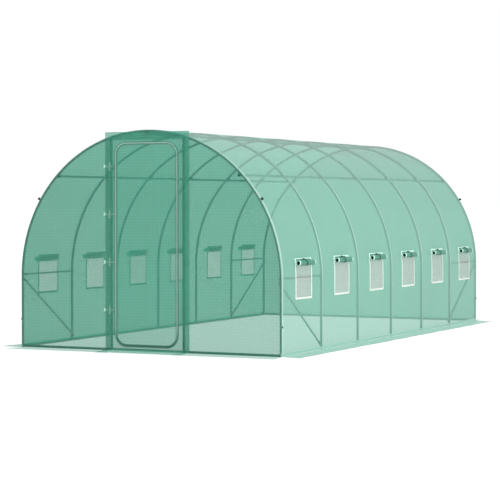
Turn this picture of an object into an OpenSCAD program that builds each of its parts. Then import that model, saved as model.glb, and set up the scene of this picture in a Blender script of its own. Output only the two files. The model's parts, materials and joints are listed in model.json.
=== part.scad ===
// Walk-in polytunnel greenhouse: seven round-topped tube hoops under a green
// film cover, with twelve roll-up windows and a hinged front door.
// The door end faces -Y, the tunnel runs along Y, and z = 0 is the ground.

/* [Tunnel] */
// Length over the two end panels
tunnel_l = 6000; // [4200:50:9000]
// Width over the cover
tunnel_w = 3000; // [2500:50:3800]
// Height of the straight hoop legs below the arch
leg_h = 750; // [600:10:1000]

/* [Frame tubes] */
// Diameter of the hoop, purlin, post and base tubes
tube_d = 25; // [19:1:32]
// Gap where two tubes of a hoop butt together
joint_gap = 0.4; // [0.2:0.1:0.8]
// Angle of the side purlins above the springing line
purlin_angle = 45; // [35:1:55]
// How far a purlin runs past the middle of the end hoops
purlin_overrun = 10; // [4:1:12]
// Width of the clips that hold the purlins to the hoops
clip_w = 18; // [12:1:24]
// Sheet thickness of the purlin clips
clip_t = 2; // [1:0.5:3]
// Length of each flat ear of a purlin clip
clip_ear = 16; // [10:1:24]

/* [Corner bracing] */
// Diameter of the corner rails and diagonals
brace_d = 19; // [16:1:22]
// Height of the corner rails above the springing line
rail_rise = 12; // [0:1:40]
// Drop from a corner rail to the top bolt of its diagonal
diagonal_drop = 45; // [38:1:80]
// Height of the bottom bolt of each diagonal
diagonal_foot_z = 62; // [50:1:90]
// Length of the flattened end of a brace, to its bolt
flat_l = 34; // [28:1:50]
// Width of the flattened end
flat_w = 24; // [20:1:28]
// Thickness of the flattened end
flat_t = 4; // [3:0.5:5]
// Length over which a flattened end grows into the round tube
flat_taper = 30; // [20:1:50]

/* [Cover] */
// Thickness of the cover film, drawn stout
film_t = 2; // [1:0.5:3]
// Angle of the arch that belongs to each side wall
wall_arc = 15; // [13:1:20]
// Width of the ground skirts beside the tunnel
side_skirt_w = 210; // [100:10:260]
// Width of the ground skirts at the ends
end_skirt_w = 260; // [100:10:320]
// How much longer a skirt's outer edge is at each end
skirt_flare = 40; // [0:5:80]

/* [Windows] */
// How far a window's middle stands behind the middle of its bay
window_shift = 24; // [-60:2:60]
// Width over a window's white tape
window_w = 410; // [320:10:480]
// Drop of the window's lower edge below the springing line
window_below = 205; // [120:5:260]
// Rise of the window's upper edge above the springing line
window_above = 208; // [150:2:240]
// Width of the white tape
tape_w = 20; // [12:1:30]
// Thickness of the tape and of the insect net
tape_t = 1; // [0.6:0.1:1.5]
// How far the net reaches under the wall round a window
net_lap = 15; // [8:1:20]
// Outer diameter of a rolled-up window flap
roll_d = 56; // [50:2:80]
// Length of a rolled-up flap
roll_l = 392; // [320:4:520]
// Diameter of the hollow in the middle of a roll
roll_core_d = 26; // [16:2:30]
// Number of turns in a roll
roll_turns = 3; // [2:1:4]
// Thickness of the rolled flap
flap_t = 2; // [1:0.5:3]
// Height of a roll's axis below the window's upper edge
roll_drop = 46; // [44:1:70]
// Width of the strap that ties a roll up
tie_w = 14; // [8:1:20]
// Thickness of the strap
tie_t = 2; // [1:0.5:3]

/* [Cover fasteners] */
// Angle of the knobs on the end hoops above the springing line
knob_angle = 32; // [24:1:40]
// Diameter of a knob's head
knob_d = 24; // [16:1:30]
// Height of the screws in the corner legs
leg_screw_z = 293; // [200:5:400]

/* [Door] */
// Width over the door's tube frame
door_w = 730; // [650:10:920]
// Height of the door frame's underside
door_bottom = 46; // [36:1:80]
// Gap from the door frame's top to the top of the tunnel
door_head = 123; // [110:1:180]
// Diameter of the door frame's tube
door_tube_d = 25; // [19:1:28]
// Bend radius at the door frame's corners, at mid tube
door_bend_r = 120; // [60:5:180]
// Length of the collar that joins the frame's halves
collar_l = 14; // [8:1:40]
// Gap from the door frame to each door post
post_gap = 37.5; // [18:0.5:40]
// Gap from the door frame's top to the panel over it
lintel_gap = 21; // [12:1:30]
// How far the panel's edge stands in from a post's inner side
panel_edge = 2.5; // [1:0.5:8]
// How far the door sheet's hinge-side edge reaches past the post
sheet_hinge_lap = 52.5; // [42:0.5:72]
// How far the door sheet's free edge reaches past the post
sheet_free_lap = 62.5; // [20:0.5:90]
// Gap from the sheet's top to the top of the tunnel
sheet_head = 22; // [10:1:60]
// Height of the ground flap's underside
flap_z = 7; // [7:0.5:12]
// How far the ground flap reaches out from the sheet
flap_reach = 240; // [80:5:240]
// Flare of the ground flap's free end
flap_flare = 25; // [0:5:80]
// Taper of the ground flap at the hinge side
flap_taper = 23; // [22:1:40]

/* [Hinges] */
// Number of hinges
hinge_count = 4; // [2:1:5]
// Height of the lowest hinge above the frame's underside
hinge_low = 371; // [250:1:450]
// Depth of the highest hinge below the frame's top
hinge_high = 245; // [180:1:400]
// Distance of the hinge axis outside the door frame's edge
hinge_offset = 59; // [40:1:70]
// Diameter of a hinge's barrel
knuckle_d = 10; // [8:0.5:14]
// Height of a hinge's barrel and back plate
barrel_h = 94; // [70:1:120]
// Height of the hinge's straps
strap_h = 32; // [24:1:40]
// Length of a fixed strap, from the hinge axis
strap_l = 74; // [70:1:110]
// Thickness of the hinge's plates
leaf_t = 2; // [1.5:0.5:3]
// Width of the back plate behind a barrel
back_plate_w = 24; // [18:1:30]
// Diameter of a hinge's pin
pin_d = 5; // [4:0.5:6]

/* [Clearances] */
// Gap between pieces that lie against each other
fit = 0.3; // [0.2:0.05:0.5]
// Radial play of a hinge pin
pin_play = 0.05; // [0.02:0.01:0.1]
// Gap between a hinge's knuckles, and behind the moving one
knuckle_gap = 1; // [0.5:0.1:2]
// Gap between the barrels and the sheet in front of them
sheet_gap = 1.5; // [1:0.5:4]
// Room kept beside what swings
swing_gap = 8; // [5:1:12]

/* [Hidden] */
$fn = 96;
arch_fn = 360;

film_green = [0.45, 0.68, 0.61];
door_green = [0.36, 0.62, 0.54];
steel_grey = [0.72, 0.75, 0.74];
tape_white = [0.93, 0.95, 0.93];
roll_green = [0.16, 0.42, 0.34];
strap_black = [0.08, 0.1, 0.1];

bays = 6;
cover_r = tunnel_w / 2;
tunnel_h = leg_h + cover_r;
tube_r = tube_d / 2;
front_y = -tunnel_l / 2;

// Hoops stand just inside the cover, purlins and rails just inside the hoops
hoop_r = cover_r - film_t - fit - tube_r;
hoop_inner_r = hoop_r - tube_r;
purlin_r = hoop_inner_r - fit - tube_r;
end_hoop_y = tunnel_l / 2 - film_t - fit - tube_r;
hoop_pitch = 2 * end_hoop_y / bays;
hoop_arcs = 4;
arc_step = 180 / hoop_arcs;
arc_gap = joint_gap / hoop_r * 180 / PI;
purlin_l = 2 * (end_hoop_y + purlin_overrun);
purlin_angles = [purlin_angle, 90, 180 - purlin_angle];

// Braces are bolted flat against the inside of the hoop legs
brace_x = hoop_inner_r - fit - flat_t / 2;
rail_z = leg_h + rail_rise;

// Roof film in equal bands between the two side walls
roof_bands = 6;
band_angle = (180 - 2 * wall_arc) / roof_bands;
wall_foot_z = film_t;
panel_r = cover_r - film_t - fit;

// Windows, one in each bay
window_low_z = leg_h - window_below;
window_top_z = leg_h + window_above;
roll_z = window_top_z - roll_drop;
roll_r = roll_d / 2;
roll_pitch = (roll_r - roll_core_d / 2 - flap_t) / roll_turns;
flap_back_r = cover_r + tape_t + 3 * fit;
roll_x = sqrt(pow(flap_back_r + roll_r, 2) - pow(roll_z - leg_h, 2));
tail_top_z = window_top_z - tape_w / 2;
tail_top_x = sqrt(pow(flap_back_r, 2) - pow(tail_top_z - leg_h, 2));
tie_from = -150;
tie_to = 95;
knot_d = 14;
knot_l = 22;

// Knobs and screws
knob_stem_d = knob_d * 0.58;
knob_stem_h = 8;
knob_head_h = 9;
knob_dome_h = 3;
screw_d = 14;
screw_h = 5;

// Door opening
door_top = tunnel_h - door_head;
door_tube_r = door_tube_d / 2;
post_x = door_w / 2 + post_gap + tube_r;
opening_x = post_x - tube_r + panel_edge;
lintel_z = door_top + lintel_gap;
sheet_top = tunnel_h - sheet_head;
sheet_left = post_x + tube_r + sheet_hinge_lap;
sheet_right = post_x + tube_r + sheet_free_lap;
post_foot_z = tube_d + fit;
post_top_z = leg_h + sqrt(pow(hoop_inner_r - fit, 2) - pow(post_x + tube_r, 2));

// Hinge stack in front of the panel, from the panel out to the sheet
hinge_x = -door_w / 2 - hinge_offset;
leaf_back_y = front_y - fit;
leaf_front_y = leaf_back_y - leaf_t;
hinge_y = leaf_front_y - knuckle_gap - knuckle_d / 2;
sheet_back_y = hinge_y - knuckle_d / 2 - sheet_gap;
sheet_front_y = sheet_back_y - film_t;
door_y = sheet_back_y + fit + door_tube_r;
hinge_step = (door_top - hinge_high - door_bottom - hinge_low) / (hinge_count - 1);
knuckle_h = (barrel_h - strap_h) / 2 - knuckle_gap;
sheet_hinge_x = hinge_x + swing_gap;
collar_wall = 1.2;
collar_set_back = 2;
strip_right_x = hinge_x - back_plate_w / 2 - swing_gap;

function hoop_y(i) = -end_hoop_y + (i - 1) * hoop_pitch;
function window_y(i) = -end_hoop_y + (i - 0.5) * hoop_pitch + window_shift;
function hinge_z(i) = door_bottom + hinge_low + i * hinge_step;

// Stretches a flat XZ outline along Y, centred on y
module along_y(length, y = 0) {
  translate([0, y, 0])
    rotate([90, 0, 0])
      linear_extrude(length, center = true)
        children();
}

// Places a piece on the arch, its +X pointing outwards
module on_arch(angle, r, y) {
  translate([0, y, leg_h])
    rotate([0, -angle, 0])
      translate([r, 0, 0])
        children();
}

// Ring sector round the centre of the arch
module arc_band(r_in, r_out, from, to) {
  reach = 2 * r_out;
  translate([0, leg_h])
    intersection() {
      difference() {
        circle(r_out, $fn = arch_fn);
        circle(r_in, $fn = arch_fn);
      }
      polygon([
        [0, 0],
        [reach * cos(from), reach * sin(from)],
        [reach * cos(to), reach * sin(to)]
      ]);
    }
}

// Side wall outline at x > 0: upright below, then the start of the arch
module wall_outline(r_in, r_out, foot_z, arc) {
  translate([r_in, foot_z]) square([r_out - r_in, leg_h - foot_z]);
  arc_band(r_in, r_out, 0, arc);
}

module on_both_sides() {
  children();
  mirror([1, 0, 0]) children();
}

module on_both_ends() {
  children();
  mirror([0, 1, 0]) children();
}

// One hoop: two straight legs and four bent tubes, butted end to end
module hoop(i) {
  color(steel_grey)
    translate([0, hoop_y(i), 0]) {
      on_both_sides()
        translate([hoop_r, 0, 0]) cylinder(h = leg_h - joint_gap, r = tube_r);
      for (k = [0 : hoop_arcs - 1])
        translate([0, 0, leg_h])
          rotate([90, 0, 0])
            rotate([0, 0, k * arc_step + arc_gap / 2])
              rotate_extrude(angle = arc_step - arc_gap)
                translate([hoop_r, 0]) circle(tube_r);
    }
}

module purlin(angle) {
  color(steel_grey)
    on_arch(angle, purlin_r, 0)
      rotate([90, 0, 0]) cylinder(h = purlin_l, r = tube_r, center = true);
}

// Saddle strap round a purlin, with ears flat along the hoop
module clip_outline() {
  inner = tube_r + fit;
  outer = inner + clip_t;
  ear_top = tube_r - fit;
  intersection() {
    difference() {
      circle(outer);
      circle(inner);
    }
    translate([-2 * outer, -2 * outer]) square([2 * outer, 4 * outer]);
  }
  for (side = [-1, 1])
    scale([1, side]) {
      translate([0, inner]) square([ear_top, clip_t]);
      translate([ear_top - clip_t, inner]) square([clip_t, clip_t + clip_ear]);
    }
}

module purlin_clips() {
  color(steel_grey)
    for (i = [1 : bays + 1], angle = purlin_angles)
      on_arch(angle, purlin_r, hoop_y(i))
        along_y(clip_w) clip_outline();
}

// End of a brace along +Y from its bolt: a rounded flat, then a taper that
// narrows and thickens into the round tube
module flattened_end() {
  brace_r = brace_d / 2;
  taper_depth = 2 * flat_w;
  rotate([0, 90, 0]) cylinder(h = flat_t, d = flat_w, center = true);
  translate([-flat_t / 2, 0, -flat_w / 2]) cube([flat_t, flat_l, flat_w]);
  translate([0, flat_l, 0])
    intersection() {
      rotate([-90, 0, 0])
        cylinder(h = flat_taper, r1 = norm([flat_w, flat_t]) / 2, r2 = brace_r);
      linear_extrude(taper_depth, center = true)
        polygon([
          [-flat_t / 2, 0], [flat_t / 2, 0],
          [brace_r, flat_taper], [-brace_r, flat_taper]
        ]);
      rotate([90, 0, 90])
        linear_extrude(taper_depth, center = true)
          polygon([
            [0, -flat_w / 2], [flat_taper, -brace_r],
            [flat_taper, brace_r], [0, flat_w / 2]
          ]);
    }
}

// Round tube with flattened ends, from bolt to bolt in the YZ plane
module brace(from, to) {
  run = to - from;
  length = norm(run);
  tube_start = flat_l + flat_taper;
  translate([brace_x, from[0], from[1]])
    rotate([atan2(run[1], run[0]), 0, 0]) {
      translate([0, tube_start, 0])
        rotate([-90, 0, 0]) cylinder(h = length - 2 * tube_start, d = brace_d);
      flattened_end();
      translate([0, length, 0]) mirror([0, 1, 0]) flattened_end();
    }
}

module corner_rails() {
  color(steel_grey)
    on_both_sides() on_both_ends()
      brace([hoop_y(1), rail_z], [hoop_y(2), rail_z]);
}

module corner_diagonals() {
  color(steel_grey)
    on_both_sides() on_both_ends()
      brace([hoop_y(1), rail_z - diagonal_drop], [hoop_y(2), diagonal_foot_z]);
}

module base_rail() {
  length = 2 * (end_hoop_y - tube_r - fit);
  color(steel_grey)
    translate([purlin_r, 0, tube_r])
      rotate([90, 0, 0]) cylinder(h = length, r = tube_r, center = true);
}

module end_sill(y) {
  length = 2 * (hoop_inner_r - fit);
  color(steel_grey)
    translate([0, y, tube_r])
      rotate([0, 90, 0]) cylinder(h = length, r = tube_r, center = true);
}

// Two posts stand on the sill and reach up to the front hoop
module door_posts() {
  color(steel_grey)
    on_both_sides()
      translate([post_x, -end_hoop_y, post_foot_z])
        cylinder(h = post_top_z - post_foot_z, r = tube_r);
}

// Opening in the wall inside a window's tape
module window_hole(y, margin, depth) {
  width = window_w - 2 * tape_w + 2 * margin;
  low = window_low_z + tape_w - margin;
  top = window_top_z - tape_w + margin;
  translate([cover_r - depth / 2, y - width / 2, low])
    cube([depth, width, top - low]);
}

module side_wall() {
  hole_depth = cover_r / 4;
  color(film_green)
    difference() {
      along_y(tunnel_l)
        wall_outline(cover_r - film_t, cover_r, wall_foot_z, wall_arc);
      for (i = [1 : bays]) window_hole(window_y(i), 0, hole_depth);
    }
}

module roof_band(k) {
  from = wall_arc + k * band_angle;
  color(film_green)
    along_y(tunnel_l)
      arc_band(cover_r - film_t, cover_r, from, from + band_angle);
}

// Outline of a closed end, inside the cover
module end_outline() {
  translate([-panel_r, wall_foot_z]) square([2 * panel_r, leg_h - wall_foot_z]);
  translate([0, leg_h])
    intersection() {
      circle(panel_r, $fn = arch_fn);
      translate([-panel_r, 0]) square([2 * panel_r, panel_r]);
    }
}

module front_panel_side() {
  color(film_green)
    along_y(film_t, front_y + film_t / 2)
      intersection() {
        end_outline();
        translate([opening_x, 0]) square([cover_r, tunnel_h]);
      }
}

module front_panel_head() {
  color(film_green)
    along_y(film_t, front_y + film_t / 2)
      intersection() {
        end_outline();
        translate([-opening_x, lintel_z]) square([2 * opening_x, cover_r]);
      }
}

module rear_panel() {
  color(film_green)
    along_y(film_t, -front_y - film_t / 2)
      end_outline();
}

module side_skirt() {
  inner = cover_r - film_t;
  outer = cover_r + side_skirt_w;
  half = tunnel_l / 2;
  color(film_green)
    linear_extrude(film_t)
      polygon([
        [inner, -half], [outer, -half - skirt_flare],
        [outer, half + skirt_flare], [inner, half]
      ]);
}

// Half of an end skirt at x > 0, starting at a distance from the middle
module end_skirt_half(start) {
  inner_y = front_y + film_t;
  outer_y = front_y - end_skirt_w;
  corner = cover_r - film_t;
  linear_extrude(film_t)
    polygon([
      [start, inner_y], [corner, inner_y], [corner, front_y],
      [corner + skirt_flare, outer_y], [start, outer_y]
    ]);
}

module front_skirt() {
  color(film_green) on_both_sides() end_skirt_half(opening_x);
}

module rear_skirt() {
  color(film_green) mirror([0, 1, 0]) on_both_sides() end_skirt_half(0);
}

// Curved sheet that follows the wall, cut out by a window-sized block
module wall_patch(y, r_in, r_out, margin) {
  patch_depth = cover_r / 4;
  intersection() {
    along_y(window_w, y) wall_outline(r_in, r_out, wall_foot_z, wall_arc);
    window_hole(y, margin, patch_depth);
  }
}

module window_nets() {
  outer = cover_r - film_t - fit;
  color(tape_white)
    on_both_sides()
      for (i = [1 : bays]) wall_patch(window_y(i), outer - tape_t, outer, net_lap);
}

module window_tapes() {
  inner = cover_r + fit;
  tape_depth = cover_r / 2;
  color(tape_white)
    on_both_sides()
      for (i = [1 : bays])
        difference() {
          wall_patch(window_y(i), inner, inner + tape_t, tape_w);
          window_hole(window_y(i), 0, tape_depth);
        }
}

// Half turn of a roll, above or below its axis
module half_turn(r, side) {
  intersection() {
    difference() {
      circle(r);
      circle(r - flap_t);
    }
    translate([-r, side > 0 ? 0 : -r]) square([2 * r, r]);
  }
}

// Flap wound up from its hem: the tail comes down the wall from the window's
// head, then half turns wind inwards. The wall is on the -X side.
module roll_outline() {
  tail_x = roll_x - roll_r;
  polygon([
    [tail_x, roll_z], [tail_x + flap_t, roll_z],
    [tail_top_x + flap_t, tail_top_z], [tail_top_x, tail_top_z]
  ]);
  translate([roll_x, roll_z])
    for (k = [0 : roll_turns - 1]) {
      half_turn(roll_r - k * roll_pitch, -1);
      translate([roll_pitch / 2, 0]) half_turn(roll_r - (k + 0.5) * roll_pitch, 1);
    }
}

module window_rolls() {
  color(roll_green)
    on_both_sides()
      for (i = [1 : bays]) along_y(roll_l, window_y(i)) roll_outline();
}

// Strap over the front of a roll, with the knot that holds it on top
module roll_ties() {
  inner = roll_r + fit;
  color(strap_black)
    on_both_sides()
      for (i = [1 : bays])
        translate([roll_x, window_y(i), roll_z])
          rotate([90, 0, 0]) {
            rotate([0, 0, tie_from])
              rotate_extrude(angle = tie_to - tie_from)
                translate([inner, -tie_w / 2]) square([tie_t, tie_w]);
            rotate([0, 0, tie_to])
              translate([inner + knot_d / 2, 0, 0])
                cylinder(h = knot_l, d = knot_d, center = true);
          }
}

// Round-headed knob on its stem, standing up from z = 0
module knob() {
  dome_r = (pow(knob_d / 2, 2) + pow(knob_dome_h, 2)) / (2 * knob_dome_h);
  cylinder(h = knob_stem_h, d = knob_stem_d);
  translate([0, 0, knob_stem_h]) cylinder(h = knob_head_h, d = knob_d);
  translate([0, 0, knob_stem_h + knob_head_h])
    intersection() {
      translate([0, 0, knob_dome_h - dome_r]) sphere(dome_r);
      cylinder(h = knob_dome_h, d = knob_d);
    }
}

module cover_fasteners() {
  color(strap_black)
    on_both_sides() on_both_ends() {
      on_arch(knob_angle, cover_r + fit, -end_hoop_y)
        rotate([0, 90, 0]) knob();
      translate([cover_r + fit, -end_hoop_y, leg_screw_z])
        rotate([0, 90, 0]) cylinder(h = screw_h, d = screw_d);
    }
}

// Fixed half of a hinge: strap and back plate flat on the panel, two
// knuckles on short webs, and the pin
module hinge_leaf() {
  web_depth = leaf_front_y - hinge_y;
  translate([hinge_x - strap_l, leaf_front_y, -strap_h / 2])
    cube([strap_l, leaf_t, strap_h]);
  translate([hinge_x - back_plate_w / 2, leaf_front_y, -barrel_h / 2])
    cube([back_plate_w, leaf_t, barrel_h]);
  for (low = [-barrel_h / 2, barrel_h / 2 - knuckle_h])
    translate([hinge_x, 0, low]) {
      translate([0, hinge_y, 0]) cylinder(h = knuckle_h, d = knuckle_d);
      translate([-pin_d / 2, hinge_y, 0]) cube([pin_d, web_depth, knuckle_h]);
    }
  translate([hinge_x, hinge_y, -barrel_h / 2])
    cylinder(h = barrel_h, d = pin_d);
}

module hinge_leaves() {
  color(steel_grey)
    for (i = [0 : hinge_count - 1]) translate([0, 0, hinge_z(i)]) hinge_leaf();
}

// Strip of the door sheet that stays on the panel beside the hinges
module hinge_side_strip() {
  color(door_green)
    translate([-sheet_left, leaf_front_y - fit - film_t, flap_z])
      cube([sheet_left + strip_right_x, film_t, sheet_top - flap_z]);
}

// Quarter bend of the door frame in the XZ plane
module frame_bend(x, z, from) {
  translate([x, door_y, z])
    rotate([90, 0, 0])
      rotate([0, 0, from])
        rotate_extrude(angle = 90)
          translate([door_bend_r, 0]) circle(door_tube_r);
}

// Moving half of a hinge: middle knuckle and the strap welded to the stile
module hinge_strap() {
  strap_end_x = -door_w / 2 + door_tube_r;
  translate([hinge_x, hinge_y, -strap_h / 2])
    cylinder(h = strap_h, d = knuckle_d);
  translate([hinge_x, hinge_y - leaf_t / 2, -strap_h / 2])
    cube([strap_end_x - hinge_x, leaf_t, strap_h]);
}

// One bent tube with round corners, joined at the middle of the bottom rail
module door_frame() {
  stile_x = door_w / 2 - door_tube_r;
  bend_x = stile_x - door_bend_r;
  low_z = door_bottom + door_tube_r;
  high_z = door_top - door_tube_r;
  low_bend_z = low_z + door_bend_r;
  high_bend_z = high_z - door_bend_r;
  color(steel_grey)
    difference() {
      union() {
        for (x = [-stile_x, stile_x])
          translate([x, door_y, low_bend_z])
            cylinder(h = high_bend_z - low_bend_z, r = door_tube_r);
        for (z = [low_z, high_z])
          translate([0, door_y, z])
            rotate([0, 90, 0])
              cylinder(h = 2 * bend_x, r = door_tube_r, center = true);
        frame_bend(bend_x, high_bend_z, 0);
        frame_bend(-bend_x, high_bend_z, 90);
        frame_bend(-bend_x, low_bend_z, 180);
        frame_bend(bend_x, low_bend_z, 270);
        translate([0, door_y + collar_set_back, low_z])
          rotate([0, 90, 0])
            cylinder(h = collar_l, r = door_tube_r + collar_wall, center = true);
        for (i = [0 : hinge_count - 1])
          translate([0, 0, hinge_z(i)]) hinge_strap();
      }
      for (i = [0 : hinge_count - 1])
        translate([hinge_x, hinge_y, hinge_z(i)])
          cylinder(h = barrel_h, r = pin_d / 2 + pin_play, center = true);
    }
}

module door_sheet() {
  color(door_green)
    translate([sheet_hinge_x, sheet_front_y, flap_z])
      cube([sheet_right - sheet_hinge_x, film_t, sheet_top - flap_z]);
}

module door_ground_flap() {
  out_y = sheet_front_y - flap_reach;
  color(door_green)
    translate([0, 0, flap_z])
      linear_extrude(film_t)
        polygon([
          [sheet_hinge_x, sheet_front_y], [sheet_right, sheet_front_y],
          [sheet_right + flap_flare, out_y],
          [sheet_hinge_x + flap_reach * tan(flap_taper), out_y]
        ]);
}

hoop(1);  // hoop_1
hoop(2);  // hoop_2
hoop(3);  // hoop_3
hoop(4);  // hoop_4
hoop(5);  // hoop_5
hoop(6);  // hoop_6
hoop(7);  // hoop_7
purlin(90);  // ridge_purlin
purlin(180 - purlin_angle);  // left_purlin
purlin(purlin_angle);  // right_purlin
purlin_clips();
corner_rails();
corner_diagonals();
mirror([1, 0, 0]) base_rail();  // left_base_rail
base_rail();  // right_base_rail
end_sill(-end_hoop_y);  // front_sill
end_sill(end_hoop_y);  // rear_sill
door_posts();
mirror([1, 0, 0]) side_wall();  // left_wall
side_wall();  // right_wall
roof_band(0);  // roof_right_lower
roof_band(1);  // roof_right_middle
roof_band(2);  // roof_right_upper
roof_band(3);  // roof_left_upper
roof_band(4);  // roof_left_middle
roof_band(5);  // roof_left_lower
mirror([1, 0, 0]) front_panel_side();  // front_panel_left
front_panel_side();  // front_panel_right
front_panel_head();
rear_panel();
mirror([1, 0, 0]) side_skirt();  // left_skirt
side_skirt();  // right_skirt
front_skirt();
rear_skirt();
window_nets();
window_tapes();
window_rolls();
roll_ties();
cover_fasteners();
hinge_leaves();
hinge_side_strip();
door_frame();
door_sheet();
door_ground_flap();
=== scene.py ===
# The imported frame
# The polytunnel greenhouse as the CAD made it, with the door closed and every node in its place.
# New pieces take their places from the nodes' boxes, so they need no fitting.
import json
import math

import bpy
from mathutils import Matrix, Vector, noise


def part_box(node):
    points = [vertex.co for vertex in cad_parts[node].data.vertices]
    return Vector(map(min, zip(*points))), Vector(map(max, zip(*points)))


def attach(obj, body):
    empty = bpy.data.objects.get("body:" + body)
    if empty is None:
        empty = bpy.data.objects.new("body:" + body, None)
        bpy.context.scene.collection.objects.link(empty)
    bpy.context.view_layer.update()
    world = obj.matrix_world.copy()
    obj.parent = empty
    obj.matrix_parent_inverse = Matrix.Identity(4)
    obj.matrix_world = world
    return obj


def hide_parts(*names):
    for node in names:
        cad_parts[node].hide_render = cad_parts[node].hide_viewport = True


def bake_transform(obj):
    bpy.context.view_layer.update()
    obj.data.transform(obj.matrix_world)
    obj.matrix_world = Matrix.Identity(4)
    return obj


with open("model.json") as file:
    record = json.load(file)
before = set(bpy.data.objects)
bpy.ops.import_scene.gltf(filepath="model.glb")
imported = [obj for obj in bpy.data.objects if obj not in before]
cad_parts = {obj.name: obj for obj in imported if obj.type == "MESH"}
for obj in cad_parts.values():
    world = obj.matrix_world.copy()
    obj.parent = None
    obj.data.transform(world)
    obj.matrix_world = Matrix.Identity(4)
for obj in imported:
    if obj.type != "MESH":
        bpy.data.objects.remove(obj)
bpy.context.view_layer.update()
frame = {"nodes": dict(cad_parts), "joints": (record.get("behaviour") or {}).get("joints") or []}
nodes = frame["nodes"]
bpy.ops.object.select_all(action="DESELECT")
scene = bpy.context.scene


# Camera
# A long lens from the front right, a little below head height. Its place was fitted to the front arch,
# the feet of the hoops and the ridge.
picture_width = 500
focal_length_in_pixels = 1816
sensor_width = 36.0
camera_reach = 1000
camera_place = (8.8254, -19.1287, 1.5213)
camera_tilt = math.radians(88.4754)
camera_turn = math.radians(25.4332)
bpy.ops.object.camera_add(location=camera_place, rotation=(camera_tilt, 0, camera_turn))
camera = bpy.context.object
camera.name = "camera"
camera.data.sensor_width = sensor_width
camera.data.lens = sensor_width * focal_length_in_pixels / picture_width
camera.data.clip_end = camera_reach
scene.camera = camera


# Studio
# A white room that is brighter overhead, a tall softbox on the right, a weaker lamp overhead, and a pale
# floor that shows white and keeps a soft shadow.
white = (1, 1, 1, 1)
sky_low = 0.37
sky_high = 0.76
softbox_size = 11.0
softbox_place = Vector((9.0, -2.0, 4.5))
softbox_aim = Vector((0.0, 0.0, 1.2))
softbox_brightness = 2.2
overhead_strength = 1.50
overhead_spread = math.radians(40)
overhead_from = Vector((0.30, -0.20, 0.93))
floor_size = 600
floor_drop = 0.001
floor_colour = (0.92, 0.92, 0.92, 1)
floor_glow = 0.88
floor_shadow_share = (0.17, 0.17, 0.17, 1)
film_layers = 24


def feed(tree, node, feeds):
    """Feeds a node's sockets from other sockets or with fixed values."""
    for socket, value in feeds.items():
        if isinstance(value, bpy.types.NodeSocket):
            tree.links.new(value, node.inputs[socket])
        else:
            node.inputs[socket].default_value = value


def add_node(tree, kind, feeds=None, **options):
    """Adds a node, sets its options and feeds its sockets."""
    node = tree.nodes.new(kind)
    for option, value in options.items():
        setattr(node, option, value)
    feed(tree, node, feeds or {})
    return node


def reckon(tree, operation, *values):
    """Adds a Math node and returns its result."""
    return add_node(tree, "ShaderNodeMath", dict(enumerate(values)), operation=operation).outputs[0]


def between(tree, share, low, high):
    """Runs from low to high as a share goes from 0 to 1."""
    feeds = {"Value": share, "To Min": low, "To Max": high}
    return add_node(tree, "ShaderNodeMapRange", feeds).outputs[0]


def mix_shaders(tree, share, first, second):
    """Mixes two shaders by a share."""
    return add_node(tree, "ShaderNodeMixShader", {0: share, 1: first, 2: second}).outputs[0]


def seen_directly(tree):
    """Is 1 for what the camera sees, also by way of metal or glass."""
    path = add_node(tree, "ShaderNodeLightPath").outputs
    mirrored = reckon(tree, "MAXIMUM", path["Is Glossy Ray"], path["Is Transmission Ray"])
    return reckon(tree, "MAXIMUM", path["Is Camera Ray"], mirrored)


scene.view_settings.view_transform = "Standard"
scene.cycles.transparent_max_bounces = film_layers

world = bpy.data.worlds.new("studio_sky")
world.use_nodes = True
scene.world = world
sky = world.node_tree
sky_way = add_node(sky, "ShaderNodeTexCoord").outputs["Generated"]
sky_height = add_node(sky, "ShaderNodeSeparateXYZ", {0: sky_way}).outputs[2]
sky_light = sky.nodes["Background"]
feed(sky, sky_light, {"Color": white, "Strength": between(sky, sky_height, sky_low, sky_high)})
sky_white = add_node(sky, "ShaderNodeBackground", {"Color": white, "Strength": 1.0})
sky_mix = mix_shaders(sky, seen_directly(sky), sky_light.outputs[0], sky_white.outputs[0])
feed(sky, sky.nodes["World Output"], {"Surface": sky_mix})

softbox_turn = (softbox_place - softbox_aim).to_track_quat("Z", "Y").to_euler()
bpy.ops.object.light_add(type="AREA", location=softbox_place, rotation=softbox_turn)
softbox = bpy.context.object
softbox.name = "softbox"
softbox.data.size = softbox_size
softbox.data.energy = softbox_brightness * math.pi * softbox_size**2
softbox.visible_camera = False

bpy.ops.object.light_add(type="SUN", rotation=overhead_from.to_track_quat("Z", "Y").to_euler())
overhead = bpy.context.object
overhead.name = "overhead_lamp"
overhead.data.energy = overhead_strength
overhead.data.angle = overhead_spread

bpy.ops.mesh.primitive_plane_add(size=floor_size, location=(0, 0, -floor_drop))
floor = bpy.context.object
floor.name = "studio_floor"
floor_paint = bpy.data.materials.new("studio_floor")
floor_paint.use_nodes = True
floor_tree = floor_paint.node_tree
floor_tree.nodes.remove(floor_tree.nodes["Principled BSDF"])
floor_plain = add_node(floor_tree, "ShaderNodeBsdfDiffuse", {"Color": floor_colour}).outputs[0]
floor_shadow = add_node(floor_tree, "ShaderNodeBsdfDiffuse", {"Color": floor_shadow_share}).outputs[0]
floor_white = add_node(floor_tree, "ShaderNodeEmission", {"Strength": floor_glow}).outputs[0]
floor_seen = add_node(floor_tree, "ShaderNodeAddShader", {0: floor_white, 1: floor_shadow}).outputs[0]
floor_mix = mix_shaders(floor_tree, seen_directly(floor_tree), floor_plain, floor_seen)
feed(floor_tree, floor_tree.nodes["Material Output"], {"Surface": floor_mix})
floor.data.materials.append(floor_paint)


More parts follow.
